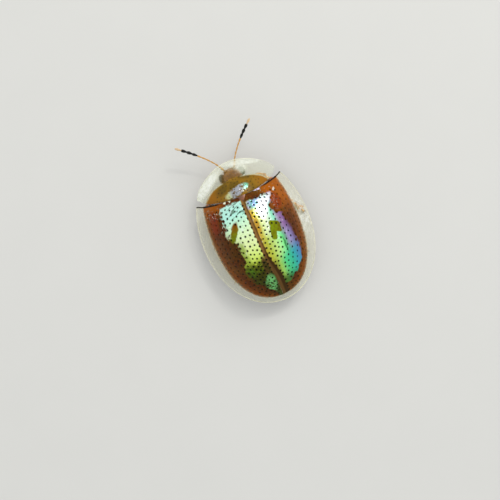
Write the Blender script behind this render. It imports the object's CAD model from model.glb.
import functools
import random
from math import acos, copysign, cos, exp, hypot, pi, radians, sin, sqrt

import bmesh
import bpy
import mathutils
from mathutils import Matrix, Vector
from mathutils.kdtree import KDTree


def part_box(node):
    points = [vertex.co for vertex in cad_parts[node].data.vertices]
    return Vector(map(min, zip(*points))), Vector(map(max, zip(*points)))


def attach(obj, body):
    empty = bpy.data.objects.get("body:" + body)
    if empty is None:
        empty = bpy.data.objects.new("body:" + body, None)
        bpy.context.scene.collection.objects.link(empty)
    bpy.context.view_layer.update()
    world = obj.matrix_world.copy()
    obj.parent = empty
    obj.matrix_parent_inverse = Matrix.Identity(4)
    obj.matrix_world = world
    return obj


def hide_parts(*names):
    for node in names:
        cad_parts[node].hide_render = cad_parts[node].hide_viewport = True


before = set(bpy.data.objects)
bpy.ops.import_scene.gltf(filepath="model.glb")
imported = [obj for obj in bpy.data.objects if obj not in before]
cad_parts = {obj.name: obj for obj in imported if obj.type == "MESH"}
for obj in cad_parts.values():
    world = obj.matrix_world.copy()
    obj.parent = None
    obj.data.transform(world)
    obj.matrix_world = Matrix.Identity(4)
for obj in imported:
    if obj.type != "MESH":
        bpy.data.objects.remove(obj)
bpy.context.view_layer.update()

# A tortoise beetle. Its pieces are made in millimetres: x from the middle line towards the beetle's
# left, y back from the front rim of the pronotum, z up from the floor. toMetres() then takes them
# to where the solids are.
print("stage: frame loaded")

body = {
    "length": 8.02, "rimHalf": 2.97, "discHalf": 2.38, "widestY": 4.05, "rimFront": 4.15,
    "rimRear": 3.97, "discFront": 4.3, "discRear": 3.66, "rimFullness": 2.08,
    "discFullness": 2.25, "shoulderY": 1.58, "discShoulderY": 1.74, "sutureStart": 2.36,
    "baseY": 2.06, "crestY": 3.7, "crestZ": 3.35, "crestFrontDrop": 0.68, "discEdgeZ": 1.15,
    "shoulderLift": 0.16, "rimZ": 0.9, "rimRearZ": 0.84, "sidePower": 2.4, "rearPower": 2.3,
    "scutellumHalf": 0.24, "bellyZ": 0.87, "bellyRise": 0.22,
}

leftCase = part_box("elytron_left")
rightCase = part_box("elytron_right")
middleX = (leftCase[1][0] + rightCase[0][0]) / 2
frontY = leftCase[1][1] - body["length"] / 1000
zAxis = Vector((0, 0, 1))


def toMetres(bm):
    bmesh.ops.scale(bm, vec=(0.001, 0.001, 0.001), verts=bm.verts[:])
    bmesh.ops.translate(bm, vec=(middleX, frontY, 0), verts=bm.verts[:])


def addObject(name, data):
    made = bpy.data.objects.new(name, data)
    bpy.context.scene.collection.objects.link(made)
    return made


def toMesh(name, bm, look):
    mesh = bpy.data.meshes.new(name)
    bm.to_mesh(mesh)
    bm.free()
    mesh.materials.append(look)
    return mesh


def finishPiece(name, bm, look, node, sharpAngle=50):
    bmesh.ops.recalc_face_normals(bm, faces=bm.faces[:])
    toMetres(bm)
    mesh = toMesh(name, bm, look)
    mesh.shade_smooth()
    mesh.set_sharp_from_angle(angle=radians(sharpAngle))
    made = addObject(name, mesh)
    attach(made, "root")
    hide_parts(node)


def blend(a, b, share):
    return a + (b - a) * share


def clamp(value):
    return min(max(value, 0.0), 1.0)


def ease(value):
    value = clamp(value)
    return value * value * (3 - 2 * value)


def mirrored(point, side):
    return Vector((point[0] * side, point[1], point[2]))


def along(stops, share):
    # A value between stops of (share, value), eased from one to the next.
    for (start, low), (end, high) in zip(stops, stops[1:]):
        if share <= end:
            return blend(low, high, ease((share - start) / (end - start)))
    return stops[-1][1]


# One socket of a node tree, so that shader maths reads as plain expressions.
class Signal:
    def __init__(self, tree, socket=None):
        self.tree = tree
        self.socket = socket

    def node(self, kind, settings=None, values=None, output=0):
        made = self.tree.nodes.new("ShaderNode" + kind)
        for name, value in (settings or {}).items():
            if name == "stops":
                self.fillRamp(made.color_ramp, value)
            else:
                setattr(made, name, value)
        for name, value in (values or {}).items():
            self.feed(made, name, value)
        return Signal(self.tree, self.pick(made.outputs, output))

    def pick(self, sockets, name):
        if isinstance(name, int):
            return sockets[name]
        return next(item for item in sockets if item.identifier == name)

    def feed(self, target, name, value):
        socket = self.pick(target.inputs, name)
        if isinstance(value, Signal):
            self.tree.links.new(value.socket, socket)
        else:
            socket.default_value = value

    def fillRamp(self, rampData, stops):
        elements = rampData.elements
        while len(elements) > 1:
            elements.remove(elements[-1])
        elements[0].position, elements[0].color = stops[0]
        for position, colour in stops[1:]:
            elements.new(position).color = colour

    def maths(self, operation, *values):
        return self.node("Math", {"operation": operation}, dict(enumerate(values)))

    def __add__(self, other):
        return self.maths("ADD", self, other)

    def __radd__(self, other):
        return self.maths("ADD", other, self)

    def __sub__(self, other):
        return self.maths("SUBTRACT", self, other)

    def __rsub__(self, other):
        return self.maths("SUBTRACT", other, self)

    def __mul__(self, other):
        return self.maths("MULTIPLY", self, other)

    def __rmul__(self, other):
        return self.maths("MULTIPLY", other, self)

    def __truediv__(self, other):
        return self.maths("DIVIDE", self, other)

    def __abs__(self):
        return self.maths("ABSOLUTE", self)

    def most(self, other):
        return self.maths("MAXIMUM", self, other)

    def least(self, other):
        return self.maths("MINIMUM", self, other)

    def step(self, low, high):
        # 0 below low and 1 above high, or the other way round where low is the larger.
        values = {"Value": self, "From Min": low, "From Max": high, "To Min": 0.0, "To Max": 1.0}
        return self.node("MapRange", {"interpolation_type": "SMOOTHSTEP"}, values)

    def tint(self, low, high):
        # This signal as the share between two colours.
        values = {"Factor_Float": self, "A_Color": low, "B_Color": high}
        return self.node("Mix", {"data_type": "RGBA"}, values, "Result_Color")

    def ramp(self, stops, interpolation="LINEAR"):
        made = self.node("ValToRGB", {"stops": stops}, {"Fac": self})
        made.socket.node.color_ramp.interpolation = interpolation
        return made


def tone(red, green, blue):
    # A screen colour from 0 to 255 as the shader's linear light.
    def linear(part):
        part /= 255
        return part / 12.92 if part <= 0.04045 else ((part + 0.055) / 1.055) ** 2.4

    return (linear(red), linear(green), linear(blue), 1.0)


def tones(**named):
    return {name: tone(*parts) for name, parts in named.items()}


def newLook(name):
    look = bpy.data.materials.new(name)
    look.use_nodes = True
    return look


def joinLook(look, sockets):
    for name, value in sockets.items():
        Signal(look.node_tree).feed(look.node_tree.nodes["Principled BSDF"], name, value)
    return look


def objectPlace(look):
    return Signal(look.node_tree).node("TexCoord", None, None, "Object")


def bodyPlace(look):
    # Object coordinates as millimetres on the beetle: (towards its right, back, up).
    place = objectPlace(look)
    scale, shift = (-1000.0, 1000.0, 1000.0), (middleX * 1000, -frontY * 1000, 0.0)
    values = {"Vector": place, "Vector_001": scale, "Vector_002": shift}
    return place.node("VectorMath", {"operation": "MULTIPLY_ADD"}, values)


def splitPlace(place):
    return [place.node("SeparateXYZ", None, {"Vector": place}, axis) for axis in (0, 1)]


def noise(place, scale, detail=3.0, roughness=0.5):
    values = {"Vector": place, "Scale": scale, "Detail": detail, "Roughness": roughness}
    return place.node("TexNoise", None, values)


def sway(pattern, reach):
    # A pattern around 0 that moves an edge to and fro by half of reach.
    return (pattern - 0.5) * reach


def cells(place, scale, feature="DISTANCE_TO_EDGE", randomness=1.0):
    values = {"Vector": place, "Scale": scale, "Randomness": randomness}
    return place.node("TexVoronoi", {"feature": feature}, values)


def mark(place, name):
    # A number that the mesh carries at each point.
    return place.node("Attribute", {"attribute_name": name}, None, "Fac")


def bump(height, strength, distance):
    values = {"Strength": strength, "Distance": distance, "Height": height}
    return height.node("Bump", None, values)


def byStation(back, stops, top=1.0):
    # A number that follows the station y, with stops of (y, value up to top).
    whole = 8.1  # the beetle's length, and a little more
    points = [(y / whole, (value / top,) * 3 + (1.0,)) for y, value in stops]
    return (back * (1 / whole)).ramp(points, "EASE") * top


def spot(right, back, centre, radii, turn, soft=0.35, square=False):
    # 1 inside a turned ellipse, or a block with round corners, and 0 outside it.
    cosine, sine = cos(radians(turn)), sin(radians(turn))
    x = right - centre[0]
    y = back - centre[1]
    wide = (x * cosine + y * sine) / radii[0]
    long = (y * cosine - x * sine) / radii[1]
    wide, long = wide * wide, long * long
    if square:
        wide, long = wide * wide, long * long
    return (wide + long).step(1 + soft, 1 - soft)


def spotsOf(table, right, back):
    # Returns a function that draws the table's spots of one name.
    def spotAt(name, x=right, y=back):
        return functools.reduce(Signal.most, [spot(x, y, *row) for row in table[name]])

    return spotAt


def layered(colour, colours, *layers):
    # Lays colours over one another. A layer is its share, and a colour's name or a signal.
    for share, name in layers:
        colour = share.tint(colour, colours.get(name, name))
    return colour


caseColours = tones(
    shellRed=(80, 34, 0), shellBrown=(86, 50, 0), shellOrange=(154, 80, 0),
    shellDark=(50, 32, 0), clear=(226, 224, 178), haze=(244, 246, 234), rimLine=(240, 236, 200),
    edgeLine=(26, 14, 4), sutureLight=(128, 92, 44), sutureDark=(58, 36, 2),
    windowAmber=(132, 78, 0), windowOlive=(114, 130, 0), pit=(14, 18, 4),
    speckDark=(52, 50, 10), leftOuter=(136, 160, 44), mauve=(92, 62, 34),
    mintTail=(112, 186, 110), speckGreen=(80, 130, 30), creamGlint=(250, 246, 206),
    lilacGlint=(232, 214, 250), whiteGlint=(255, 236, 214), shine=(250, 251, 255),
    blueFront=(150, 176, 236), tealFront=(98, 188, 186), tailGreen=(38, 74, 14),
    gold=(196, 148, 48), streak=(30, 96, 40), hatch=(60, 92, 62), redHeart=(126, 36, 2),
    grainDark=(70, 80, 30),
)

# The film's colours at (millimetres, red, green, blue): the left one follows y, the right one x.
caseFilms = {
    "left": (
        (2.2, 196, 246, 226), (2.8, 190, 248, 228), (3.3, 206, 250, 212), (3.9, 230, 252, 194),
        (4.6, 234, 248, 172), (5.2, 220, 242, 124), (5.6, 190, 210, 70), (5.85, 104, 120, 16),
        (6.3, 72, 70, 10), (7.1, 66, 78, 26),
    ),
    "rightFront": (
        (0.05, 212, 164, 54), (0.25, 212, 204, 90), (0.42, 228, 244, 160), (0.7, 236, 252, 206),
        (0.95, 206, 250, 216), (1.12, 150, 240, 200), (1.28, 168, 168, 186), (1.42, 172, 132, 186),
        (1.56, 150, 110, 172), (1.75, 106, 60, 84),
    ),
    "rightMiddle": (
        (0.05, 196, 178, 56), (0.35, 190, 202, 74), (0.7, 204, 238, 140), (1.0, 168, 252, 160),
        (1.16, 116, 240, 140), (1.3, 130, 176, 160), (1.46, 178, 164, 214), (1.6, 160, 150, 208),
        (1.8, 120, 90, 136),
    ),
    "rightRear": (
        (0.3, 128, 118, 40), (0.5, 160, 206, 92), (0.85, 88, 214, 138), (1.2, 66, 206, 168),
        (1.45, 64, 186, 198), (1.7, 86, 150, 206), (1.9, 112, 96, 160),
    ),
}

# How far the metal reaches from the middle line, at (y, distance).
metalEdges = {
    "top": 2.5,
    "left": (
        (2.0, 0.9), (2.4, 1.42), (3.2, 1.44), (3.6, 1.62), (3.95, 1.5), (4.3, 1.24), (5.3, 1.16),
        (5.9, 1.42), (6.5, 1.2), (7.0, 0.75), (7.4, 0.3),
    ),
    "right": (
        (2.0, 0.9), (2.5, 1.5), (2.8, 1.36), (3.08, 1.16), (3.45, 1.3), (3.7, 1.66), (4.6, 1.8),
        (5.4, 1.84), (6.2, 1.74), (6.7, 1.3), (7.1, 0.8), (7.4, 0.3),
    ),
}

# Spots on the wing cases, at (right, back): centre, radii, turn, softness, and True for corners.
caseSpots = {
    "leftGlint": [((-0.84, 2.03), (0.2, 0.08), 8)],
    "lilacGlint": [((0.86, 1.98), (0.22, 0.08), 14)],
    "whiteGlint": [((1.74, 2.32), (0.05, 0.11), 20)],
    "glitter": [
        ((-1.75, 2.3), (0.5, 0.36), 0, 0.6), ((-1.5, 3.45), (0.22, 0.4), 0, 0.6),
        ((1.3, 2.1), (0.5, 0.16), 0, 0.6), ((1.5, 2.9), (0.2, 0.5), 0, 0.6),
    ],
    "leftWindow": [((-1.12, 3.68), (0.2, 0.56), 30)],
    "rightWindow": [((1.02, 4.2), (0.3, 0.32), 0, 0.3, True)],
    "windowFoot": [((0.81, 4.51), (0.16, 0.4), 7, 0.3, True)],
    "mauve": [((-0.28, 6.0), (0.17, 0.6), 0, 0.6)],
    "mintTail": [((-0.34, 6.92), (0.28, 0.48), 10, 0.7)],
    "hatch": [((-0.55, 2.62), (0.5, 0.42), 0, 0.7)],
    "blueFront": [((0.52, 2.6), (0.5, 0.3), -8, 0.95)],
    "shine": [((0.84, 2.98), (0.27, 0.6), 20, 0.9)],
    "gold": [((0.16, 3.8), (0.14, 0.42), 0, 0.95)],
    "glare": [((1.2, 2.7), (0.13, 0.42), 50, 0.8)],
    "streak": [((1.16, 5.3), (0.05, 0.42), 0, 0.6)],
    "redHearts": [((1.62, 2.95), (0.24, 0.45), 0, 0.7), ((-1.92, 2.8), (0.24, 0.6), 10, 0.8)],
    "haze": [((2.62, 4.1), (0.42, 1.5), -6, 0.9)],
}


def filmRamp(distance, name, reach=2.0):
    stops = [(place / reach, tone(*parts)) for place, *parts in caseFilms[name]]
    return (distance / reach).ramp(stops)


def makeCaseLook():
    colours = caseColours
    look = newLook("wingCase")
    place = bodyPlace(look)
    right, back = splitPlace(place)
    coarse = noise(place, 1.3, 2.0)
    fine = noise(place, 5.0, 3.0)
    grain = noise(place, 24.0, 3.0, 0.6)
    streaks = noise(place, 11.0, 3.0, 0.65)
    wavyRight = right + sway(fine, 0.16)
    wavyBack = back + sway(coarse, 0.3)
    spotAt = spotsOf(caseSpots, wavyRight, back)
    onRight = right.step(-0.01, 0.01)
    onLeft = 1 - onRight
    across, alongCase = mark(place, "across"), mark(place, "along")
    inside, halo = mark(place, "inside"), mark(place, "halo")
    pit = mark(place, "pit") * (1 - inside * 0.8)

    # metal lies within an edge on each wing case, jagged where pits cross it
    leftEdge = byStation(wavyBack, metalEdges["left"], metalEdges["top"])
    rightEdge = byStation(wavyBack, metalEdges["right"], metalEdges["top"])
    edge = leftEdge * onLeft + rightEdge * onRight
    outward = abs(right) - edge + sway(fine, 0.3) + sway(grain, 0.16) + halo * 0.14
    frontStart = 2.2 + 0.22 * onRight + sway(fine, 0.3) + sway(grain, 0.24)
    metal = outward.step(0.05, -0.03) * (wavyBack - frontStart).step(-0.04, 0.04)
    patchy = (fine + sway(grain, 0.5)).step(0.4, 0.5)
    leftGlint = spotAt("leftGlint") * patchy
    lilacGlint = spotAt("lilacGlint") * patchy
    whiteGlint = spotAt("whiteGlint")
    glitter = spotAt("glitter", right, back) * streaks.step(0.61, 0.65)
    metal = metal.most(leftGlint).most(lilacGlint).most(whiteGlint).most(glitter) * (1 - inside)

    # the brown band along the suture, drawn to the right near the tail
    sutureMiddle = -0.05 + 0.22 * back.step(5.3, 6.9)
    offSuture = right - sutureMiddle
    sutureHalf = 0.1 + 0.08 * back.step(5.0, 6.8) + 0.07 * halo
    suture = (abs(offSuture) - sutureHalf + sway(fine, 0.05)).step(0.02, -0.02)

    # the see-through windows: the right one is a slanted block on a narrow foot
    raggedRight = wavyRight + sway(grain, 0.12)
    raggedBack = wavyBack + sway(grain, 0.12)
    lean = raggedRight + 0.12 * (raggedBack - 4.2)
    slant = raggedBack - 0.5 * (raggedRight - 1.06)
    rightWindow = spotAt("rightWindow", lean, slant)
    rightWindow = rightWindow.most(spotAt("windowFoot", raggedRight, raggedBack))
    window = spotAt("leftWindow", raggedRight, raggedBack).most(rightWindow)

    # film colours over the metal
    outer = abs(wavyRight).step(0.78, 1.04) * wavyBack.step(3.9, 4.6) * wavyBack.step(6.0, 5.4)
    speckle = back.step(5.4, 5.8) * (fine + grain * 0.8).step(0.74, 0.9)
    green = back.step(5.6, 6.0) * (coarse + grain).step(1.06, 1.2)
    mintTail = spotAt("mintTail", wavyRight, wavyBack)
    mintTail = mintTail * (fine + grain * 0.8).step(0.76, 0.92)
    slanted = {"X": right * 2.0 - back * 0.8, "Y": right * 2.8 + back * 7.0, "Z": 0.0}
    hatch = noise(place.node("CombineXYZ", None, slanted), 1.0, 1.0).step(0.47, 0.4)
    leftFilm = layered(
        filmRamp(wavyBack, "left", 8.0),
        colours,
        (outer * 0.8, "leftOuter"),
        (spotAt("mauve", wavyRight, wavyBack), "mauve"),
        (speckle * 0.85, "speckDark"),
        (green * 0.8, "speckGreen"),
        (mintTail, "mintTail"),
        (leftGlint, "creamGlint"),
        (hatch * spotAt("hatch") * 0.75, "hatch"),
    )
    distance = abs(wavyRight)
    blueTint = fine.step(0.42, 0.58).tint(colours["tealFront"], colours["blueFront"])
    rightFilm = layered(
        filmRamp(distance, "rightFront"),
        colours,
        (wavyBack.step(4.2, 4.9), filmRamp(distance, "rightMiddle")),
        ((back + right * 0.4).step(5.7, 6.4), filmRamp(distance, "rightRear")),
        (spotAt("blueFront", wavyRight, wavyBack) * 0.9, blueTint),
        (spotAt("shine"), "shine"),
        (spotAt("gold") * 0.9, "gold"),
        (spotAt("glare", wavyRight, wavyBack), "shine"),
        ((wavyBack + grain * 0.3).step(6.75, 7.15) * 0.8, "tailGreen"),
        (spotAt("streak") * 0.7, "streak"),
        (lilacGlint, "lilacGlint"),
        (whiteGlint, "whiteGlint"),
    )
    film = layered(
        onRight.tint(leftFilm, rightFilm),
        colours,
        (fine.step(0.56, 0.74) * back.step(5.4, 4.8) * 0.4, "shine"),
        (streaks.step(0.42, 0.3) * 0.35, "grainDark"),
        (glitter, "whiteGlint"),
        (((grain - 0.52) * 1.6).most(0.0), "grainDark"),
    )

    # the brown shell, brightest at the front shoulders
    shoulder = (back + onLeft * 1.0).step(4.4, 2.2) * across.step(0.3, 0.7)
    dark = back.step(3.4, 4.6) * onLeft * (across + sway(fine, 0.3)).step(0.92, 0.5)
    lowEdge = (across + sway(fine, 0.12)).step(0.84, 1.02)
    brown = layered(
        coarse.step(0.35, 0.65).tint(colours["shellRed"], colours["shellBrown"]),
        colours,
        ((shoulder + sway(fine, 0.5)).step(0.1, 0.9), "shellOrange"),
        (spotAt("redHearts") * 0.75, "redHeart"),
        (dark * 0.7, "shellDark"),
        (lowEdge * 0.5, "shellOrange"),
        (streaks.step(0.5, 0.7) * 0.55, "shellDark"),
        (streaks.step(0.48, 0.26) * 0.4, "shellOrange"),
    )

    windowTint = back.step(3.3, 4.0).tint(colours["windowAmber"], colours["windowOlive"])
    windowBrown = (fine.step(0.3, 0.8) * 0.5 + lean.step(1.02, 1.3) * 0.5).least(1.0)
    windowTint = windowBrown.tint(windowTint, colours["shellBrown"])
    sutureShare = (offSuture.step(-0.06, 0.1) * 0.6 + back.step(4.9, 5.8) * 0.6).least(1.0)
    sutureTint = sutureShare.tint(colours["sutureLight"], colours["sutureDark"])

    # the clear brim, with a pale line at its rim and a haze on the beetle's right
    brim = (across + sway(fine, 0.08)).step(0.95, 1.2)
    haze = spotAt("haze", right, back) * fine.step(0.35, 0.7)
    rimLine = across.step(1.9, 1.97)
    brimTint = rimLine.tint(haze.tint(colours["clear"], colours["haze"]), colours["rimLine"])
    wallShade = alongCase.step(-0.05, -0.4) * (1 - brim)
    edgeLine = alongCase.step(0.011, 0.006) * alongCase.step(-0.5, -0.3) * across.step(0.5, 0.7)
    edgeLine = edgeLine * inside.step(0.3, 0.1)
    colour = layered(
        metal.tint(brown, film),
        colours,
        (window, windowTint),
        (suture, sutureTint),
        (inside * 0.75, "shellDark"),
        ((pit * (1.1 + 0.5 * metal)).least(1.0), "pit"),
        (brim, brimTint),
        (wallShade * 0.8, "shellDark"),
        (edgeLine, "edgeLine"),
    )

    net = cells(place, 5.5).step(0.08, 0.0)
    clearAlpha = 0.09 + 0.06 * net + 0.2 * haze + 0.3 * rimLine
    alpha = (1 - brim * (1 - clearAlpha)).most(edgeLine * 0.95)
    covered = window.most(suture).most(brim).most(edgeLine)
    metallic = metal * (1 - covered) * (1 - pit) * (1 - wallShade)
    sockets = {
        "IOR": 1.5, "Specular IOR Level": 0.06, "Coat Roughness": 0.03, "Coat IOR": 1.4,
        "Base Color": colour,
        "Metallic": metallic * 0.92,
        "Roughness": 0.22 + 0.14 * grain - 0.04 * metal + 0.25 * pit,
        "Coat Weight": 0.07 - 0.06 * pit,
        "Alpha": alpha,
        "Normal": bump(grain * 0.4 + fine * 0.6, 0.25, 0.00002),
    }
    return joinLook(look, sockets)


pronotumColours = tones(
    disc=(96, 72, 4), discWarm=(132, 96, 14), corner=(146, 92, 4), overHead=(146, 112, 56),
    clear=(220, 226, 184), haze=(246, 248, 236), patch=(164, 166, 172),
    patchMint=(98, 178, 148), patchGold=(196, 200, 146), rimLine=(244, 242, 214),
    pit=(30, 22, 8),
)

pronotumSpots = {
    "disc": [((-0.12, 2.14), (1.95, 1.18), 0, 0.09)],
    "lobe": [((-0.14, 1.0), (0.6, 0.6), 0, 0.4)],
    "patch": [((-0.1, 1.69), (0.7, 0.23), -12, 0.3)],
    "cornerHaze": [((-1.5, 0.82), (0.26, 1.0), 57, 0.8)],
    "frontHaze": [((0.9, 0.36), (1.25, 0.17), 13, 0.8)],
    "eyeHaze": [((0.52, 0.6), (0.36, 0.26), 0, 0.8)],
}


def makePronotumLook():
    colours = pronotumColours
    look = newLook("clearPronotum")
    place = bodyPlace(look)
    right, back = splitPlace(place)
    coarse = noise(place, 1.6, 2.0)
    fine = noise(place, 5.0, 3.0)
    grain = noise(place, 22.0, 3.0, 0.6)
    wavyRight = right + sway(fine, 0.14)
    wavyBack = back + sway(coarse, 0.16)
    spotAt = spotsOf(pronotumSpots, wavyRight, back)
    disc = spotAt("disc", wavyRight, wavyBack)
    lobe = spotAt("lobe", wavyRight, wavyBack)
    toRim, pit = mark(place, "toRim"), mark(place, "pit")

    # the metal patch over the middle of the base, broken by pits
    ragged = wavyBack + sway(grain, 0.3)
    patch = spotAt("patch", wavyRight + sway(grain, 0.3), ragged)
    patch = patch * (fine + grain * 0.8).step(0.74, 0.86)
    patchTint = wavyRight.step(0.1, 0.5).tint(colours["patch"], colours["patchMint"])
    patchTint = wavyRight.step(-0.35, -0.62).tint(patchTint, colours["patchGold"])

    brown = layered(
        coarse.step(0.35, 0.65).tint(colours["disc"], colours["discWarm"]),
        colours,
        (abs(right).step(0.8, 1.6), "corner"),
        ((1 - disc) * 0.7, "overHead"),
        (patch, patchTint),
    )
    haze = spotAt("cornerHaze")
    haze = haze.most(spotAt("frontHaze", right, back) * 0.8) * (0.2 + 1.4 * fine)
    haze = haze.most(spotAt("eyeHaze", right, back) * 0.6)
    rimLine = toRim.step(0.07, 0.02)
    clear = haze.tint(colours["clear"], colours["haze"])
    clear = (rimLine * 0.8).tint(clear, colours["rimLine"])
    colour = disc.most(lobe).tint(clear, brown)
    colour = (pit * 1.2).least(1.0).tint(colour, colours["pit"])

    net = cells(place, 5.0).step(0.08, 0.0)
    clearAlpha = (0.1 + 0.06 * net + 0.34 * haze + 0.3 * rimLine).most(lobe * 0.22)
    alpha = clearAlpha + disc * (1 - clearAlpha)
    sockets = {
        "IOR": 1.5, "Specular IOR Level": 0.1, "Coat Roughness": 0.05, "Coat IOR": 1.4,
        "Base Color": colour,
        "Metallic": patch * disc * 0.85,
        "Roughness": 0.16 + 0.16 * grain,
        "Coat Weight": 0.06 + 0.14 * fine,
        "Alpha": alpha.least(1.0),
        "Normal": bump(grain * 0.5 + fine, 0.2, 0.00002),
    }
    return joinLook(look, sockets)


# Each chitin's deep, warm and speck colours, its roughness and how fine its pattern is.
chitins = {
    "brownChitin": ((92, 44, 10), (150, 82, 22), (54, 26, 8), 0.32, 9.0),
    "headChitin": ((112, 66, 22), (156, 104, 44), (54, 30, 12), 0.28, 12.0),
    "legChitin": ((158, 92, 22), (206, 142, 52), (120, 62, 14), 0.36, 14.0),
    "claw": ((70, 30, 8), (130, 66, 18), (30, 14, 6), 0.24, 20.0),
}


def makeChitinLook(name):
    deep, warm, speck, roughness, pattern = chitins[name]
    look = newLook(name)
    place = bodyPlace(look)
    coarse = noise(place, pattern * 0.3, 2.0)
    fine = noise(place, pattern, 4.0, 0.6)
    punctures = cells(place, pattern * 1.4, "F1").step(0.22, 0.06)
    colour = coarse.step(0.3, 0.7).tint(tone(*deep), tone(*warm))
    sockets = {
        "IOR": 1.5, "Coat Roughness": 0.1,
        "Base Color": (punctures * 0.6).tint(colour, tone(*speck)),
        "Roughness": roughness + 0.2 * fine,
        "Coat Weight": 0.35 + 0.3 * fine,
        "Normal": bump(fine - punctures * 0.7, 0.5, 0.00002),
    }
    return joinLook(look, sockets)


def makeEyeLook():
    look = newLook("eye")
    place = bodyPlace(look)
    facets = cells(place, 26.0, randomness=0.4)
    tinted = noise(place, 4.0)
    sockets = {
        "IOR": 1.5, "Specular IOR Level": 0.15, "Coat Weight": 0.25, "Coat Roughness": 0.04,
        "Base Color": tinted.tint(tone(8, 6, 5), tone(38, 22, 12)),
        "Roughness": 0.16 + 0.1 * tinted,
        "Normal": bump(facets.step(0.0, 0.12), 0.5, 0.00001),
    }
    return joinLook(look, sockets)


def makeFeelerLook():
    # The joint number that the mesh carries gives the amber stem, black club and pale tip.
    look = newLook("feeler")
    place = bodyPlace(look)
    joint = mark(place, "joint")
    fine = noise(place, 12.0, 3.0)
    stem = fine.tint(tone(168, 108, 40), tone(214, 170, 92))
    club = fine.tint(tone(5, 9, 4), tone(22, 22, 15))
    tip = fine.tint(tone(178, 134, 92), tone(224, 204, 164))
    colour = layered(stem, {}, (joint.step(7.4, 7.6), club), (joint.step(10.4, 10.6), tip))
    sockets = {
        "IOR": 1.5, "Specular IOR Level": 0.2,
        "Base Color": colour,
        "Roughness": 0.42 + 0.2 * fine,
        "Normal": bump(fine, 0.5, 0.00001),
    }
    return joinLook(look, sockets)


def halfOval(turn, wide, front, rear, fullness):
    power = 2 / fullness
    acrossShare = max(sin(turn), 0.0) ** power
    backShare = abs(cos(turn)) ** power
    if turn < pi / 2:
        return wide * acrossShare, body["widestY"] - front * backShare
    return wide * acrossShare, body["widestY"] + rear * backShare


def turnAt(y, front, fullness):
    return acos(((body["widestY"] - y) / front) ** (fullness / 2))


shoulderTurn = turnAt(body["shoulderY"], body["rimFront"], body["rimFullness"])
discTurn = turnAt(body["discShoulderY"], body["discFront"], body["discFullness"])
tailY = body["widestY"] + body["discRear"]


def crestHeight(y, low):
    top = body["crestZ"] - low
    crest = body["crestY"]
    if y < crest:
        drop = ((crest - y) / (crest - body["baseY"])) ** 2
        return top - body["crestFrontDrop"] * drop
    share = min((y - crest) / (tailY - crest), 1.0)
    edge = body["discEdgeZ"] - low
    return edge + (top - edge) * (1 - share ** body["rearPower"])


def discEdge(s, inset):
    turn = blend(discTurn, pi, s)
    front = body["discFront"] - inset
    rear = body["discRear"] - inset
    x, y = halfOval(turn, body["discHalf"] - inset, front, rear, body["discFullness"])
    lift = body["shoulderLift"] * (1 - s) ** 4
    return Vector((x, y, body["discEdgeZ"] + lift - inset))


def rimPoint(s):
    turn = blend(shoulderTurn, pi, s)
    x, y = halfOval(turn, body["rimHalf"], body["rimFront"], body["rimRear"], body["rimFullness"])
    lift = body["shoulderLift"] * (1 - s) ** 4
    return Vector((x, y, blend(body["rimZ"], body["rimRearZ"], s) + lift))


def domePoint(s, acrossShare, inset=0.0, notch=0.0):
    edge = discEdge(s, inset)
    notched = max(0.0, 1 - edge.x * acrossShare / body["scutellumHalf"])
    sutureY = blend(body["baseY"] + notch * notched, tailY - inset, s)
    y = blend(sutureY, edge.y, acrossShare * acrossShare)
    height = crestHeight(sutureY, inset) - edge.z
    z = edge.z + height * (1 - acrossShare ** body["sidePower"])
    return Vector((edge.x * acrossShare, y, z))


def newMark(bm, name):
    return bm.verts.layers.float.new(name)


def gridSheet(columns, rows, surface):
    # A sheet whose points come from surface(u, v), with u and v from 0 to 1.
    bm = bmesh.new()
    bmesh.ops.create_grid(bm, x_segments=columns, y_segments=rows, size=0.5)
    uLayer, vLayer = newMark(bm, "u"), newMark(bm, "v")
    for vert in bm.verts:
        u, v = vert.co.x + 0.5, vert.co.y + 0.5
        vert[uLayer], vert[vLayer] = u, v
        vert.co = surface(u, v)
    bmesh.ops.remove_doubles(bm, verts=bm.verts[:], dist=0.0005)
    bmesh.ops.recalc_face_normals(bm, faces=bm.faces[:])
    bm.normal_update()
    return bm


def faceUp(bm):
    bmesh.ops.recalc_face_normals(bm, faces=bm.faces[:])
    if sum(face.normal.z * face.calc_area() for face in bm.faces) < 0:
        bmesh.ops.reverse_faces(bm, faces=bm.faces[:])
    bm.normal_update()


def thicken(bm, wall):
    # Gives a sheet that faces up its wall, below it, or above it where wall is negative.
    insideLayer = newMark(bm, "inside")
    made = bmesh.ops.extrude_face_region(bm, geom=bm.faces[:], use_keep_orig=True)
    bm.normal_update()
    for item in made["geom"]:
        if isinstance(item, bmesh.types.BMVert):
            item.co -= item.normal * wall
            item[insideLayer] = 1.0


def sinkPits(bm, pits, depth, haloRadius):
    # Sinks round pits into a sheet, and marks them and the ground about them on its points.
    pitLayer, haloLayer = newMark(bm, "pit"), newMark(bm, "halo")
    tree = KDTree(len(bm.verts))
    for number, vert in enumerate(bm.verts):
        tree.insert(vert.co, number)
    tree.balance()
    bm.verts.ensure_lookup_table()
    sunk = {}
    for centre, radius in pits:
        for _, number, distance in tree.find_range(centre, haloRadius):
            vert = bm.verts[number]
            vert[haloLayer] = max(vert[haloLayer], clamp(1 - distance / haloRadius))
            bowl = clamp(1 - (distance / radius) ** 2)
            vert[pitLayer] = max(vert[pitLayer], bowl)
            sunk[number] = max(sunk.get(number, 0.0), bowl**1.5)
    for number, share in sunk.items():
        vert = bm.verts[number]
        vert.co -= vert.normal * (share * depth)


def stationMatrix(centre, forward, wide, high):
    forward = forward.normalized()
    sideways = forward.cross(zAxis).normalized()
    upwards = sideways.cross(forward)
    turned = Matrix((sideways * wide, upwards * high, forward)).transposed().to_4x4()
    return Matrix.Translation(centre) @ turned


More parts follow.
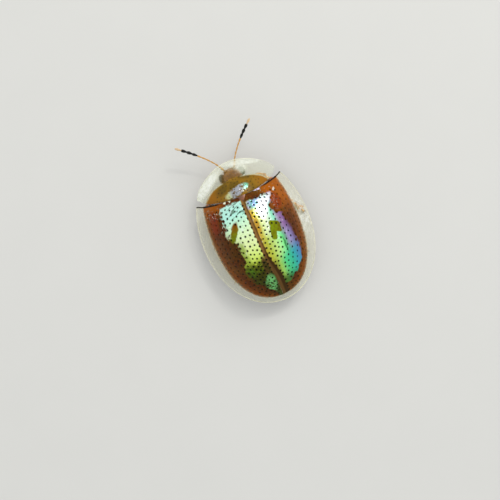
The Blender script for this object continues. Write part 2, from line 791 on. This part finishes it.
def tube(bm, route, widths, sides=12, rings=14, flatness=1.0):
    # A capped tube that runs along route(share), as thick as the stops in widths say.
    circle = bmesh.ops.create_circle(bm, cap_ends=True, radius=1.0, segments=sides)["verts"]
    face = circle[0].link_faces[0]
    unit = [vert.co.copy() for vert in face.verts]
    for number in range(rings + 1):
        share = 0.5 - 0.5 * cos(pi * number / rings)
        if number == 1:
            first = bmesh.ops.extrude_face_region(bm, geom=[face], use_keep_orig=True)
            face = next(item for item in first["geom"] if isinstance(item, bmesh.types.BMFace))
        elif number > 1:
            face = bmesh.ops.extrude_discrete_faces(bm, faces=[face])["faces"][0]
        forward = route(min(share + 0.02, 1.0)) - route(max(share - 0.02, 0.0))
        radius = max(along(widths, share), 0.004) / 2
        matrix = stationMatrix(route(share), forward, radius, radius * flatness)
        for vert, point in zip(face.verts, unit):
            vert.co = matrix @ point


def straight(start, end, sag=Vector()):
    # A route from start to end that bows by sag in its middle.
    return lambda share: start.lerp(end, share) + sag * (4 * share * (1 - share))


def limb(bm, size, start, end, sag=Vector()):
    # A tube along straight(), where size holds its widths, sides, rings and flatness.
    route = straight(start, end, sag)
    tube(bm, route, *size)
    return route


caseSizes = {
    "columns": 150, "brimColumns": 26, "rows": 240, "frontRows": 7, "frontWall": 0.36,
    "wall": 0.075, "gap": 0.002, "striae": 9, "firstStria": 0.075, "striaStep": 0.104,
    "pitStep": 0.27, "pitRadius": 0.07, "pitDepth": 0.04, "pitRoom": 0.18,
    "brimPits": (0.99, 0.2, 0.07), "haloRadius": 0.15,
    "windows": {1: (1.14, 3.72), -1: (0.95, 4.42)}, "windowRadii": (0.22, 0.44),
    "humeralBump": 0.08, "humeralPlace": (1.62, 2.5), "foldHeight": 0.035, "beadHeight": 0.025,
    "seed": 7,
    "softBand": (0.93, 1.15), "softRounds": 4, "bandHalf": 0.1, "bandShift": 0.22,
    "pitSamples": 400,
}


def caseAcross(u):
    # 0 to 1 over the dome, closer together where it is steep, and 1 to 2 over the brim.
    share = caseSizes["columns"] / (caseSizes["columns"] + caseSizes["brimColumns"])
    if u <= share:
        out = u / share
        return out * (1.25 - 0.25 * out)
    return 1 + (u - share) / (1 - share)


def casePoint(acrossShare, s):
    if acrossShare <= 1:
        point = domePoint(s, acrossShare, 0.0, body["sutureStart"] - body["baseY"])
        point.z -= 0.03 * exp(-((point.x / 0.05) ** 2))
        bumpX, bumpY = caseSizes["humeralPlace"]
        bumpAway = hypot(point.x - bumpX, (point.y - bumpY) * 0.9) / 0.5
        point.z += caseSizes["humeralBump"] * exp(-bumpAway * bumpAway)
        fold = mathutils.noise.noise(Vector((point.x * 2.4, point.y * 2.4, 0.7)))
        point.z += caseSizes["foldHeight"] * fold * ease((point.x - 0.9) / 0.5)
    else:
        out = acrossShare - 1
        point = discEdge(s, 0.0).lerp(rimPoint(s), out)
        point.z -= 0.07 * sin(pi * min(out * 1.2, 1.0)) * (1 - s**8)
        point.z += caseSizes["beadHeight"] * ease((out - 0.88) / 0.08)
    point.x = max(point.x, 0.0) + caseSizes["gap"]
    return point


def caseAlong(v):
    # Below 0 in the first rows, which turn down as the front wall, then 0 to 1 to the tail.
    share = caseSizes["frontRows"] / caseSizes["rows"]
    if v < share:
        return v / share - 1
    return (v - share) / (1 - share)


def caseSurface(acrossShare, s):
    point = casePoint(acrossShare, max(s, 0.0))
    if s <= 0:
        inside = 1 - ease((acrossShare - 0.92) / 0.2)
        teeth = 0.014 * sin(acrossShare * 130) * ease((acrossShare - 0.3) / 0.2)
        point.z -= blend(0.01, caseSizes["frontWall"], inside) * (-s) ** 1.6
        swell = (0.03 + teeth) * sin(pi * min(-s * 1.6, 1.0)) - 0.03 * s * s
        point.y -= blend(-0.02 * s, swell, inside)
    return point


def casePits(side):
    # Rows of pits along each wing case, and a row of larger ones where the brim begins.
    draw = random.Random(caseSizes["seed"] + side)
    pits = []
    for number in range(caseSizes["striae"]):
        share = caseSizes["firstStria"] + number * caseSizes["striaStep"]
        step = caseSizes["pitStep"] * draw.uniform(0.95, 1.1)
        pits += pitRow(draw, share, step, caseSizes["pitRadius"], 0.5 if number % 2 else 0.0)
    pits += pitRow(draw, *caseSizes["brimPits"])
    kept = []
    for centre, radius in pits:
        shift = caseSizes["bandShift"] if side < 0 else 0.0
        band = caseSizes["bandHalf"] + shift * ease((centre.y - 5.3) / 1.6)
        crowded = any((centre - other).length < caseSizes["pitRoom"] for other, _ in kept)
        if centre.x > band and not crowded and not inWindow(centre, side):
            kept.append((centre, radius))
    return kept


def pitRow(draw, share, step, radius, begin=0.0):
    row = []
    travelled = -begin * step
    previous = casePoint(share, 0.02)
    for number in range(1, caseSizes["pitSamples"]):
        s = 0.02 + 0.96 * number / caseSizes["pitSamples"]
        point = casePoint(share, s)
        travelled += (point - previous).length
        previous = point
        if travelled >= step:
            travelled = draw.uniform(-0.14, 0.14) * step
            shift = draw.uniform(-0.014, 0.014)
            row.append((casePoint(share + shift, s), radius * draw.uniform(0.8, 1.12)))
    return row


def inWindow(point, side):
    # The see-through windows have no pits.
    x, y = caseSizes["windows"][side]
    wide, long = caseSizes["windowRadii"]
    return hypot((point.x - x) / wide, (point.y - y) / long) < 1


def makeCase(name, side, look):
    bm = gridSheet(
        caseSizes["columns"] + caseSizes["brimColumns"],
        caseSizes["rows"],
        lambda u, v: caseSurface(caseAcross(u), caseAlong(v)),
    )
    acrossLayer, alongLayer = newMark(bm, "across"), newMark(bm, "along")
    uLayer, vLayer = bm.verts.layers.float["u"], bm.verts.layers.float["v"]
    for vert in bm.verts:
        vert[acrossLayer] = caseAcross(vert[uLayer])
        vert[alongLayer] = caseAlong(vert[vLayer])
    softFrom, softTo = caseSizes["softBand"]
    softRing = [vert for vert in bm.verts if softFrom < vert[acrossLayer] < softTo]
    for _ in range(caseSizes["softRounds"]):
        bmesh.ops.smooth_vert(
            bm, verts=softRing, factor=0.5, use_axis_x=False, use_axis_y=False, use_axis_z=True
        )
    faceUp(bm)
    sinkPits(bm, casePits(side), caseSizes["pitDepth"], caseSizes["haloRadius"])
    faceUp(bm)
    thicken(bm, caseSizes["wall"])
    if side < 0:
        bmesh.ops.scale(bm, vec=(-1, 1, 1), verts=bm.verts[:])
    finishPiece(name + "_case", bm, look, name)


pronotumSizes = {
    "half": 2.25, "sweep": 0.21, "baseY": 2.03, "baseSweep": 0.55, "basePower": 2.7,
    "corner": 0.38, "frontZ": 1.48, "cornerZ": 1.12, "bulge": 1.0, "discReach": 1.55,
    "discHalf": 2.0, "wall": 0.07, "columns": 180, "rows": 90, "pitDepth": 0.02,
    "pitTries": 420, "pitRoom": 0.17, "haloRadius": 0.1, "seed": 11,
}


def pronotumHeight(x, y):
    sizes = pronotumSizes
    brim = blend(sizes["frontZ"], sizes["cornerZ"], (x / sizes["half"]) ** 2)
    inward = y - sizes["sweep"] * x * x
    brim += 0.07 * inward
    reach = hypot(x / sizes["discHalf"], (2.0 - y) / sizes["discReach"])
    bulge = max(0.0, 1 - reach**2.2) ** 1.2
    ripple = 0.012 * sin(3.1 * x + 0.6) * sin(4.0 * y) * (1 - bulge)
    dimples = sum(
        0.05 * exp(-(((x - side * 1.15) / 0.25) ** 2) - ((y - 1.55) / 0.2) ** 2)
        for side in (-1, 1)
    )
    bead = 0.03 * exp(-((inward / 0.07) ** 2))
    return brim + sizes["bulge"] * bulge + ripple - dimples + bead


def pronotumPlan(u, v):
    sizes = pronotumSizes
    x = sizes["half"] * sin((2 * u - 1) * pi / 2)
    front = sizes["sweep"] * x * x
    out = abs(x) / sizes["half"]
    back = sizes["baseY"] - 0.03 - sizes["baseSweep"] * out ** sizes["basePower"]
    intoCorner = max(0.0, abs(x) - sizes["half"] + sizes["corner"]) / sizes["corner"]
    depth = max(sqrt(max(0.0, 1 - intoCorner**2)), 0.06)
    return x, blend(front, back, 0.5 + (v - 0.5) * depth)


def pronotumPits():
    draw = random.Random(pronotumSizes["seed"])
    kept = []
    for _ in range(pronotumSizes["pitTries"]):
        x, y = draw.uniform(-1.3, 1.3), draw.uniform(0.95, 1.92)
        point = Vector((x, y, pronotumHeight(x, y)))
        crowded = any((point - other).length <= pronotumSizes["pitRoom"] for other, _ in kept)
        if hypot(x / 1.4, (y - 2.1) / 1.2) < 1 and not crowded:
            kept.append((point, draw.uniform(0.032, 0.046)))
    return kept


def makePronotum(look):
    def surface(u, v):
        x, y = pronotumPlan(u, v)
        return Vector((x, y, pronotumHeight(x, y)))

    bm = gridSheet(pronotumSizes["columns"], pronotumSizes["rows"], surface)
    toRim = newMark(bm, "toRim")
    vLayer = bm.verts.layers.float["v"]
    for vert in bm.verts:
        sideways = pronotumSizes["half"] - abs(vert.co.x)
        vert[toRim] = min(1.9 * vert[vLayer], sideways * 1.2 + 0.02)
    faceUp(bm)
    sinkPits(bm, pronotumPits(), pronotumSizes["pitDepth"], pronotumSizes["haloRadius"])
    thicken(bm, pronotumSizes["wall"])
    finishPiece("pronotum_plate", bm, look, "pronotum")


scutellumSizes = {"half": 0.22, "front": 2.0, "tip": 2.4, "wall": 0.06, "columns": 18}


def makeScutellum(look):
    half, front, tip = (scutellumSizes[name] for name in ("half", "front", "tip"))
    top = body["crestZ"] - body["crestFrontDrop"] - 0.005

    def surface(u, v):
        wide = half * (1 - v) ** 0.8
        x = blend(-wide, wide, u)
        y = blend(front, tip, v)
        return Vector((x, y, top + 0.1 * (y - front) - 0.5 * x * x + 0.02 * sin(pi * v)))

    bm = gridSheet(scutellumSizes["columns"], scutellumSizes["columns"], surface)
    faceUp(bm)
    thicken(bm, scutellumSizes["wall"])
    finishPiece("scutellum_plate", bm, look, "scutellum")


headSizes = {
    "centre": Vector((0.0, 0.84, 0.93)),
    "radii": Vector((0.58, 0.41, 0.4)),
    "eyeCentre": Vector((0.56, 0.74, 0.9)),
    "eyeRadii": Vector((0.19, 0.25, 0.26)),
    "face": Vector((0.0, -0.34, -0.1)),
    "clypeus": (((0.0, 0.1), (0.25, 0.42), (0.75, 0.54), (1.0, 0.4)), 20, 14, 0.45),
    "upperLip": (((0.0, 0.3), (0.5, 0.38), (0.9, 0.3), (1.0, 0.1)), 18, 14, 0.4),
    "jaw": (((0.0, 0.1), (0.2, 0.2), (0.6, 0.18), (1.0, 0.03)), 12),
    "jawFeeler": ((0.11, 0.07), (0.13, 0.09), (0.14, 0.08)),  # length and width of each joint
    "feelerSocket": (((0.0, 0.24), (0.7, 0.22), (1.0, 0.14)), 16, 6),
}


def headForm(point):
    # A capsule with a groove down the brow and a muzzle that narrows to the mouth.
    radii = headSizes["radii"]
    point = Vector((point.x * radii.x, point.y * radii.y, point.z * radii.z))
    forward = clamp(-point.y / radii.y)
    groove = exp(-((point.x / 0.05) ** 2)) * ease((point.z + 0.1) / 0.3) * forward
    point.y += 0.03 * groove
    muzzle = ease((-point.z - 0.05) / 0.35) * forward
    point.y -= 0.12 * muzzle
    point.x *= 1 - 0.2 * muzzle
    return point + headSizes["centre"]


def makeHead(look):
    bm = bmesh.new()
    bmesh.ops.create_uvsphere(bm, u_segments=64, v_segments=48, radius=1.0)
    for vert in bm.verts:
        vert.co = headForm(vert.co)
    face = headSizes["centre"] + headSizes["face"]

    def addPart(name, start, end, sag=(0, 0, 0)):
        limb(bm, headSizes[name], face + Vector(start), face + Vector(end), Vector(sag))

    addPart("clypeus", (0, 0.06, 0.14), (0, -0.06, -0.2))
    addPart("upperLip", (0, -0.02, -0.16), (0, 0.02, -0.36))
    for side in (-1, 1):
        bow = (0.06 * side, -0.03, -0.04)
        addPart("jaw", (0.2 * side, 0.12, -0.16), (0.02 * side, 0.02, -0.4), bow)
        start = face + Vector((0.24 * side, 0.2, -0.16))
        for length, width in headSizes["jawFeeler"]:
            end = start + Vector((0.03 * side, -0.07, -0.06)) * (length / 0.1)
            limb(bm, (((0.0, width * 0.4), (0.6, width), (1.0, width * 0.35)), 10, 8), start, end)
            start = end
        socket = Vector((0.26 * side, 0.47, 1.0))
        limb(bm, headSizes["feelerSocket"], socket, socket + Vector((0.03 * side, -0.08, -0.01)))
    finishPiece("head_capsule", bm, look, "head")


def makeEye(name, side, look):
    bm = bmesh.new()
    bmesh.ops.create_icosphere(bm, subdivisions=5, radius=1.0)
    bmesh.ops.scale(bm, vec=headSizes["eyeRadii"], verts=bm.verts[:])
    bmesh.ops.translate(bm, vec=mirrored(headSizes["eyeCentre"], side), verts=bm.verts[:])
    finishPiece(name + "_lens", bm, look, name)


feelerSizes = {
    "root": Vector((0.3, 0.38, 0.95)),
    "bend": Vector((0.5, -0.2, 0.76)),
    "tips": {1: Vector((2.28, -1.76, 1.3)), -1: Vector((2.08, -1.66, 1.3))},
    "lengths": (0.38, 0.2, 0.3, 0.32, 0.3, 0.27, 0.26, 0.27, 0.27, 0.27, 0.31),
    "widths": (0.14, 0.1, 0.082, 0.082, 0.082, 0.086, 0.095, 0.152, 0.174, 0.17, 0.134),
}


def feelerPoint(side, share):
    tip = feelerSizes["tips"][side]
    points = (
        feelerSizes["root"],
        feelerSizes["bend"],
        Vector((0.55 * tip.x, 0.55 * tip.y, 1.05)),
        tip,
    )
    rest = 1 - share
    weights = (rest**3, 3 * rest * rest * share, 3 * rest * share * share, share**3)
    point = sum((one * weight for one, weight in zip(points, weights)), Vector())
    return mirrored(point, side)


def makeFeeler(name, side, look):
    bm = bmesh.new()
    jointLayer = newMark(bm, "joint")
    lengths, widths = feelerSizes["lengths"], feelerSizes["widths"]
    whole = sum(lengths)
    begun = 0.0
    for number, (length, width) in enumerate(zip(lengths, widths)):
        low, high = max(begun - 0.012, 0.0) / whole, (begun + length) / whole
        before = len(bm.verts)
        neck, end = (0.6, 0.08) if number == len(lengths) - 1 else (0.94, 0.5)
        stops = ((0.0, 0.34), (0.14, 0.62), (0.6, 1.0), (0.88, neck), (1.0, end))
        tube(
            bm,
            lambda share: feelerPoint(side, blend(low, high, share)),
            [(share, width * part) for share, part in stops],
            sides=14,
            rings=16,
        )
        bm.verts.ensure_lookup_table()
        for vert in bm.verts[before:]:
            vert[jointLayer] = number + 1
        begun += length
    finishPiece(name + "_beads", bm, look, name, 70)


legSizes = {
    "front": ((0.46, 1.56, 0.62), (1.2, 1.22, 0.56), (1.62, 1.5, 0.2), (1.95, 1.98, 0.12)),
    "mid": ((0.66, 3.1, 0.6), (1.56, 3.0, 0.54), (2.1, 3.34, 0.2), (2.36, 4.0, 0.12)),
    "hind": ((0.72, 4.05, 0.6), (1.5, 4.75, 0.54), (1.86, 5.5, 0.2), (2.08, 6.12, 0.12)),
    "rightMid": ((0.66, 3.1, 0.6), (1.7, 2.98, 0.5), (2.44, 3.38, 0.19), (2.8, 4.08, 0.12)),
}

# Each part's widths along it, and then its sides, rings and flatness.
legParts = {
    "hip": (((0.0, 0.3), (0.45, 0.5), (0.8, 0.42), (1.0, 0.12)), 24, 16),
    "trochanter": (((0.0, 0.1), (0.5, 0.26), (1.0, 0.08)), 18),
    "thigh": (((0.0, 0.1), (0.12, 0.24), (0.5, 0.38), (0.85, 0.28), (1.0, 0.1)), 24, 22, 0.8),
    "shin": (((0.0, 0.08), (0.08, 0.17), (0.6, 0.21), (0.92, 0.29), (1.0, 0.14)), 20, 22, 0.8),
    "footJoints": ((0.0, 0.27, 0.19), (0.22, 0.25, 0.21)),  # where each begins, length and width
    "lobe": (((0.0, 0.06), (0.3, 0.13), (0.8, 0.17), (1.0, 0.06)), 16, 14, 0.42),
    "clawJoint": (((0.0, 0.05), (0.4, 0.08), (0.9, 0.12), (1.0, 0.08)), 14),
    "claw": (((0.0, 0.05), (0.3, 0.06), (1.0, 0.008)), 10),
    "clawTooth": (((0.0, 0.04), (0.5, 0.045), (1.0, 0.008)), 8, 8),
    "shinHairs": (-0.3, 26, 0.1),  # how far they hang, their number and their length
    "soleHairs": (-1.2, 44, 0.06),
}


def addHairs(bm, route, draw, hang, count, length):
    # Short bristles along a route, each a thin three-sided spike.
    for number in range(count):
        share = (number + draw.uniform(0.2, 0.8)) / count
        root = route(share)
        aim = Vector((draw.uniform(-1, 1), draw.uniform(-1, 1), draw.uniform(-0.9, 0.2)))
        aim = (aim.normalized() + zAxis * hang).normalized()
        reach = length * draw.uniform(0.7, 1.2)
        reach = min(reach, (root.z - 0.004) / max(-aim.z, 0.05))
        tube(bm, straight(root, root + aim * reach), ((0.0, 0.016), (1.0, 0.004)), 3, 2)


def makeLeg(pair, word, side, limbLook, clawLook):
    points = legSizes["rightMid" if (pair, side) == ("mid", -1) else pair]
    coxa, knee, ankle, toe = (mirrored(point, side) for point in points)
    foot = toe - ankle
    ahead, sideways = foot.normalized(), foot.cross(zAxis).normalized()
    draw = random.Random(f"{pair}{side}")
    bm = bmesh.new()

    def addPart(name, *ends):
        return limb(bm, legParts[name], *ends)

    def onFoot(share, drop, aside=Vector()):
        return ankle + foot * share + aside - zAxis * drop

    addPart("hip", coxa + zAxis * 0.28, coxa + Vector((0.04 * side, 0, -0.2)))
    addPart("trochanter", coxa - zAxis * 0.06, coxa.lerp(knee, 0.3))
    addPart("thigh", coxa.lerp(knee, 0.12) - zAxis * 0.03, knee, zAxis * 0.03)
    shin = addPart("shin", knee.lerp(ankle, -0.04), ankle, Vector((0.03 * side, -0.02, 0.05)))
    for begin, length, width in legParts["footJoints"]:
        widths = ((0.0, width * 0.35), (0.35, width * 0.7), (0.85, width), (1.0, width * 0.5))
        limb(bm, (widths, 16, 14, 0.5), onFoot(begin, 0.02), onFoot(begin + length, 0.04))
    for lobe in (-sideways, sideways):  # the broad third joint is split in two
        root = onFoot(0.42, 0.05, lobe * 0.03)
        addPart("lobe", root, onFoot(0.8, 0.07, lobe * 0.12), lobe * 0.02)
    addPart("clawJoint", onFoot(0.5, 0.01), toe - zAxis * 0.02, zAxis * 0.02)
    addHairs(bm, shin, draw, *legParts["shinHairs"])
    addHairs(bm, straight(onFoot(0.05, 0.06), onFoot(0.75, 0.08)), draw, *legParts["soleHairs"])
    base = f"leg_{pair}_{word}"
    finishPiece(base + "_limb", bm, limbLook, base, 60)

    bm = bmesh.new()
    for aside in (-sideways, sideways):
        start = toe - foot * 0.03 - zAxis * 0.03 + aside * 0.015
        tip = start + ahead * 0.14 + aside * 0.06 - zAxis * 0.05
        addPart("claw", start, tip, aside * 0.025 + zAxis * 0.02)
        addPart("clawTooth", start, start + ahead * 0.05 + aside * 0.045 - zAxis * 0.05)
    finishPiece(base + "_claws", bm, clawLook, base, 60)


# Walls and plates lie along the body, from 0 at the base of the wing cases to 1 at the tail.
bellySizes = {
    "fill": 0.85, "inset": 0.48, "columns": 96, "rows": 26,
    "walls": {"thorax": (0.0, 0.43), "abdomen": (0.44, 0.96)},
    "thoraxPlates": (0.0, 0.2, 0.43), "sternites": 5,
    "plateColumns": 72, "plateRows": 18, "plateWall": 0.05,
}


def bellyHeight(x, y):
    rise = body["bellyRise"] * (abs(x) / body["discHalf"]) ** 2
    return body["bellyZ"] + rise + 0.05 * max(0.0, y - 5.5)


def bellyPoint(out, s):
    point = domePoint(s, abs(out) * bellySizes["fill"], bellySizes["inset"])
    point.x = copysign(point.x, out)
    return point


def endWalls(v, rows):
    # How far along a closed form a row lies and how open it is. The end rows are its end walls.
    return clamp((v * rows - 1) / (rows - 2)), clamp(min(v, 1 - v) * rows)


def shellPoint(point, low, turn, openShare):
    # On a closed form, point is above and low is the height below, and its sides are round.
    middle = (point.z + low) / 2
    edge = point.z if sin(turn) > 0 else low
    spread = clamp(abs(sin(turn)) / 0.25) * openShare
    return Vector((point.x, point.y, blend(middle, edge, spread)))


def makeBack(node, start, end, look):
    # The soft body wall: it fills the space under the wing cases down to the plates below.
    rows = bellySizes["rows"]

    def ringPoint(u, v):
        place, openShare = endWalls(v, rows)
        turn = 2 * pi * u
        point = bellyPoint(cos(turn), blend(start, end, place))
        low = min(bellyHeight(point.x, point.y) + 0.03, point.z - 0.02)
        return shellPoint(point, low, turn, openShare)

    bm = gridSheet(bellySizes["columns"], rows, ringPoint)
    finishPiece(node + "_wall", bm, look, node)


def makeSternite(name, node, start, end, look):
    # One belly plate, arched across, its hind edge raised over the next.
    def surface(u, v):
        out = 2 * u - 1
        s = blend(start, end, v)
        point = bellyPoint(out * 0.985, s)
        low = bellyHeight(point.x, point.y)
        curl = 0.07 * ease((v - 0.45) / 0.5) - 0.03 * (1 - ease(v / 0.2))
        side = 0.1 * ease((abs(out) - 0.86) / 0.14)
        return Vector((point.x, point.y, min(low - curl + side, point.z - 0.03)))

    bm = gridSheet(bellySizes["plateColumns"], bellySizes["plateRows"], surface)
    faceUp(bm)
    thicken(bm, -bellySizes["plateWall"])
    finishPiece(name, bm, look, node)


prosternumSizes = {
    "half": 1.8, "front": 2.14, "reach": 1.13, "back": 1.95, "roof": 0.085, "keel": 0.1,
    "columns": 96, "rows": 20,
}


def makeProsternum(look):
    # The forebody under the brown middle of the pronotum, with a wall towards the head.
    sizes = prosternumSizes

    def ringPoint(u, v):
        place, openShare = endWalls(v, sizes["rows"])
        turn = 2 * pi * u
        out = cos(turn)
        x = out * sizes["half"]
        front = min(sizes["front"] - sizes["reach"] * abs(sin(turn)), 1.86)
        y = blend(front, sizes["back"] - 0.25 * abs(out) ** 3, place)
        top = pronotumHeight(x, y) - sizes["roof"]
        low = body["bellyZ"] + 0.02 + 0.15 * out * out
        low -= sizes["keel"] * exp(-((x / 0.12) ** 2))
        return shellPoint(Vector((x, y, top)), min(low, top - 0.05), turn, openShare)

    bm = gridSheet(sizes["columns"], sizes["rows"], ringPoint)
    finishPiece("prosternum_ring", bm, look, "prosternum")


studio = {
    "pixelsPerMm": 18.6,
    "imagePixels": 500,
    "turn": 23.4,  # how far the beetle's head is turned to the left of the image's upper side
    "headPixel": (226.4, 162.1),  # where the middle of the pronotum's front rim is
    "rimHeight": 1.0,
    "lens": 200.0,
    "sensor": 36.0,
    "floor": tone(202, 200, 194),
    "world": (0.94, 0.97, 1.0, 1.0),
    "worldStrength": 1.0,
    "lightFrom": (0.39, 0.92, 1.0),  # to the image's right, its upper side and up
    "lights": {"key": (150, 84, 0.07), "glint": (140, 14, 0.03)},  # distance, size and power
}


def inModel(right, up):
    # A direction in the image, to its right and upwards, as a direction over the floor.
    turn = radians(studio["turn"])
    rightward = Vector((-cos(turn), sin(turn), 0))
    upward = Vector((-sin(turn), -cos(turn), 0))
    return rightward * right + upward * up


def makeCamera():
    scale, half = studio["pixelsPerMm"], studio["imagePixels"] / 2
    right, down = ((half - pixel) / scale for pixel in studio["headPixel"])
    centre = inModel(right, -down)
    distance = studio["lens"] / studio["sensor"] * (studio["imagePixels"] / scale)
    data = bpy.data.cameras.new("camera")
    data.sensor_width = studio["sensor"]
    data.lens = studio["lens"]
    data.clip_start, data.clip_end = 0.005, 5.0
    camera = addObject("camera", data)
    rows = Matrix((inModel(1, 0), inModel(0, 1), zAxis)).transposed()
    aside = Vector((centre.x, centre.y, distance + studio["rimHeight"]))
    place = Vector((middleX, frontY, 0)) + aside * 0.001
    camera.matrix_world = Matrix.Translation(place) @ rows.to_4x4()
    bpy.context.scene.camera = camera


def softbox(name, direction, distance, size, power):
    data = bpy.data.lights.new(name, "AREA")
    data.shape = "RECTANGLE"
    data.size = data.size_y = size * 0.001
    data.energy = power
    light = addObject(name, data)
    aim = direction.normalized()
    light.location = Vector((middleX, frontY + 0.004, 0.002)) + aim * (distance * 0.001)
    light.rotation_mode = "QUATERNION"
    light.rotation_quaternion = (-aim).to_track_quat("-Z", "Y")
    light.visible_camera = False


def makeStudio():
    makeCamera()
    bm = bmesh.new()
    bmesh.ops.create_grid(bm, x_segments=1, y_segments=1, size=0.6)
    look = newLook("floor")
    pale = studio["floor"]
    shade = tuple(part * 0.97 for part in pale[:3]) + (1.0,)
    paper = noise(objectPlace(look), 300.0, 3.0).tint(shade, pale)
    joinLook(look, {"Roughness": 0.8, "Specular IOR Level": 0.2, "Base Color": paper})
    addObject("floor", toMesh("floor", bm, look))

    world = bpy.data.worlds.new("studio")
    world.use_nodes = True
    background = world.node_tree.nodes["Background"]
    background.inputs["Color"].default_value = studio["world"]
    background.inputs["Strength"].default_value = studio["worldStrength"]
    bpy.context.scene.world = world

    right, ahead, above = studio["lightFrom"]
    for name, sizes in studio["lights"].items():
        softbox(name, inModel(right, ahead) + zAxis * above, *sizes)
    bpy.context.scene.view_settings.view_transform = "Standard"


print("stage: materials")
caseLook = makeCaseLook()
pronotumLook = makePronotumLook()
chitinLook, headLook, legLook, clawLook = (makeChitinLook(name) for name in chitins)
eyeLook = makeEyeLook()
feelerLook = makeFeelerLook()

print("stage: wing cases")
makeCase("elytron_left", 1, caseLook)
makeCase("elytron_right", -1, caseLook)

print("stage: pronotum, scutellum and head")
makePronotum(pronotumLook)
makeScutellum(chitinLook)
makeHead(headLook)
for word, side in (("left", 1), ("right", -1)):
    makeEye(f"eye_{word}", side, eyeLook)
    makeFeeler(f"antenna_{word}", side, feelerLook)

print("stage: legs")
for word, side in (("left", 1), ("right", -1)):
    for pair in ("front", "mid", "hind"):
        makeLeg(pair, word, side, legLook, clawLook)

print("stage: underside")
makeProsternum(chitinLook)
for node, (start, end) in bellySizes["walls"].items():
    makeBack(node, start, end, chitinLook)
edges = bellySizes["thoraxPlates"]
for number, (begin, end) in enumerate(zip(edges, edges[1:]), 1):
    makeSternite(f"thorax_plate_{number}", "thorax", begin, end, chitinLook)
start, end = bellySizes["walls"]["abdomen"]
step = (end - start) / bellySizes["sternites"]
for number in range(bellySizes["sternites"]):
    begin = start + step * number
    makeSternite(f"sternite_{number + 1}", "abdomen", begin, begin + step, chitinLook)

print("stage: studio")
makeStudio()

print("stage: done")
